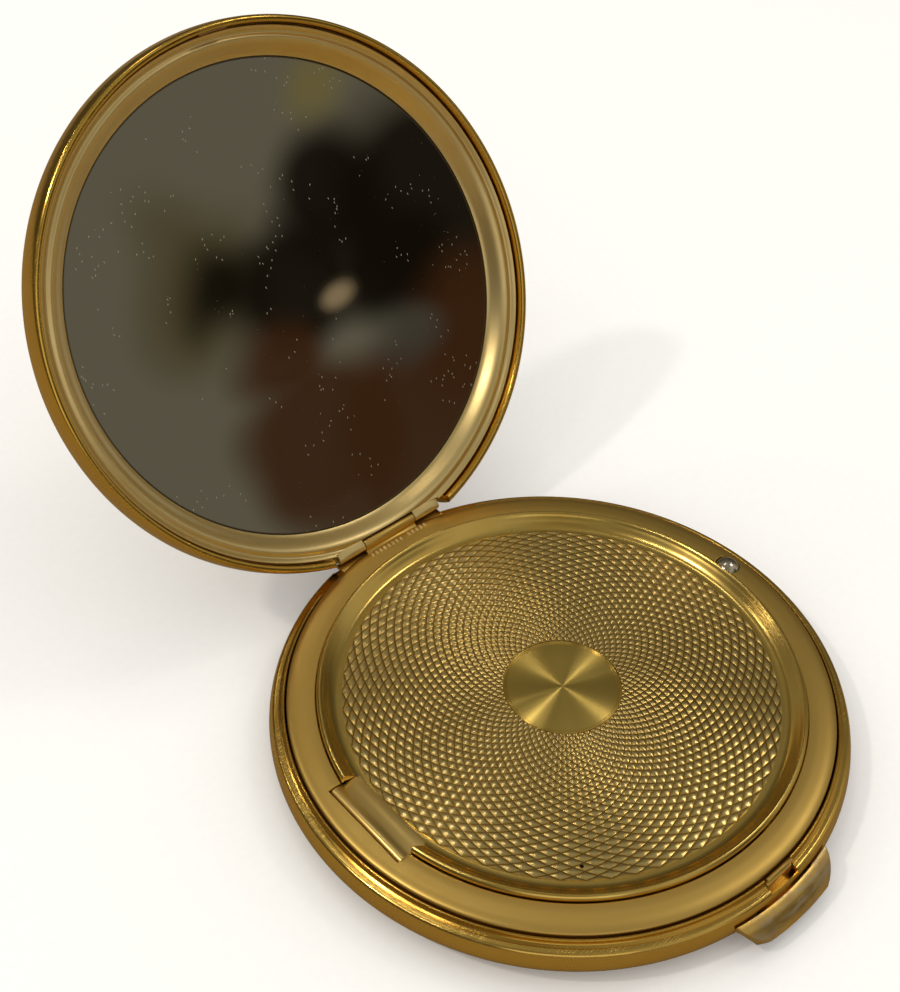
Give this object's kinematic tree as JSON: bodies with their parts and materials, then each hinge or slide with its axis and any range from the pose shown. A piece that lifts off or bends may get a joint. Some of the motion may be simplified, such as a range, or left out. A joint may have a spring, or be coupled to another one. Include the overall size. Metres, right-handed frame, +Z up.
{
  "type": "powder compact",
  "caption": "Round gilt powder compact with a hinged mirror lid, a sprung engine-turned inner lid with its own button, a sifter and a thumb catch.",
  "frame": {"origin": "centre of the flat rest face under the base", "axes": "+Z up out of the powder well, +Y towards the lid hinge at the back, +X towards the inner lid's button"},
  "size_m": [0.083, 0.1271, 0.0788],
  "materials": {
    "gilt_polished": "polished gilt with fine wear scratches",
    "gilt_satin": "satin gilt",
    "gilt_engine_turned": "engine turned gilt sheet",
    "gilt_worn": "worn dull gilt",
    "nickel": "polished nickel",
    "mirror": "silvered glass",
    "card": "grey paper board",
    "steel": "plain steel",
    "gauze": "fine woven gauze",
    "powder": "loose face powder"
  },
  "bodies": {
    "base": {"base_shell": "gilt_polished", "neck_ring": "gilt_worn", "frame_ring": "gilt_satin", "lid_hinge_pin": "gilt_worn", "powder_well": "gilt_satin", "powder_fill": "powder", "inner_hinge_pin": "steel", "inner_hinge_bracket": "gilt_worn", "inner_lid_spring": "steel", "catch_bracket": "gilt_worn", "catch_lever_pin": "steel", "catch_button_spring": "steel", "catch_pin": "steel", "catch_pin_bracket": "gilt_worn", "catch_spring": "steel"},
    "lid": {"lid_shell": "gilt_polished", "mirror_bezel": "gilt_satin", "mirror_glass": "mirror", "mirror_pad": "card", "lid_catch_lip": "gilt_worn"},
    "inner_lid": {"inner_lid": "gilt_engine_turned"},
    "button": {"catch_button": "nickel"},
    "lever": {"catch_lever": "steel"},
    "catch": {"thumb_catch": "gilt_polished"},
    "sifter": {"sifter_ring": "gilt_satin", "sifter_gauze": "gauze"}
  },
  "joints": [
    {"name": "lid_hinge", "type": "hinge", "parent": "base", "child": "lid", "pos_m": [0, 0.03925, 0.00868], "axis": [-1, 0, 0], "range_deg": [-120.5, 0]},
    {"name": "inner_lid_hinge", "type": "hinge", "parent": "base", "child": "inner_lid", "pos_m": [-0.03525, 0, 0.00705], "axis": [0, -1, 0], "range_deg": [0, 95], "deforming": ["inner_lid_spring"]},
    {"name": "catch_lift", "type": "hinge", "parent": "base", "child": "catch", "pos_m": [0, -0.039, 0.0032], "axis": [-1, 0, 0], "range_deg": [0, 4], "deforming": ["catch_spring"]},
    {"name": "button_press", "type": "slide", "parent": "base", "child": "button", "axis": [0, 0, -1], "range_m": [0, 0.0008], "deforming": ["catch_button_spring"]},
    {"name": "lever_swing", "type": "hinge", "parent": "base", "child": "lever", "pos_m": [0.0352, 0, 0.002], "axis": [0, 1, 0], "range_deg": [0, 4.2]},
    {"name": "sifter_twist", "type": "hinge", "parent": "base", "child": "sifter", "pos_m": [0, 0, 0.005], "axis": [0, 0, 1], "range_deg": [0, 30]}
  ],
  "couplings": [
    {"joint": "lever_swing", "follows": "button_press", "rad_per_m": 87.27}
  ]
}
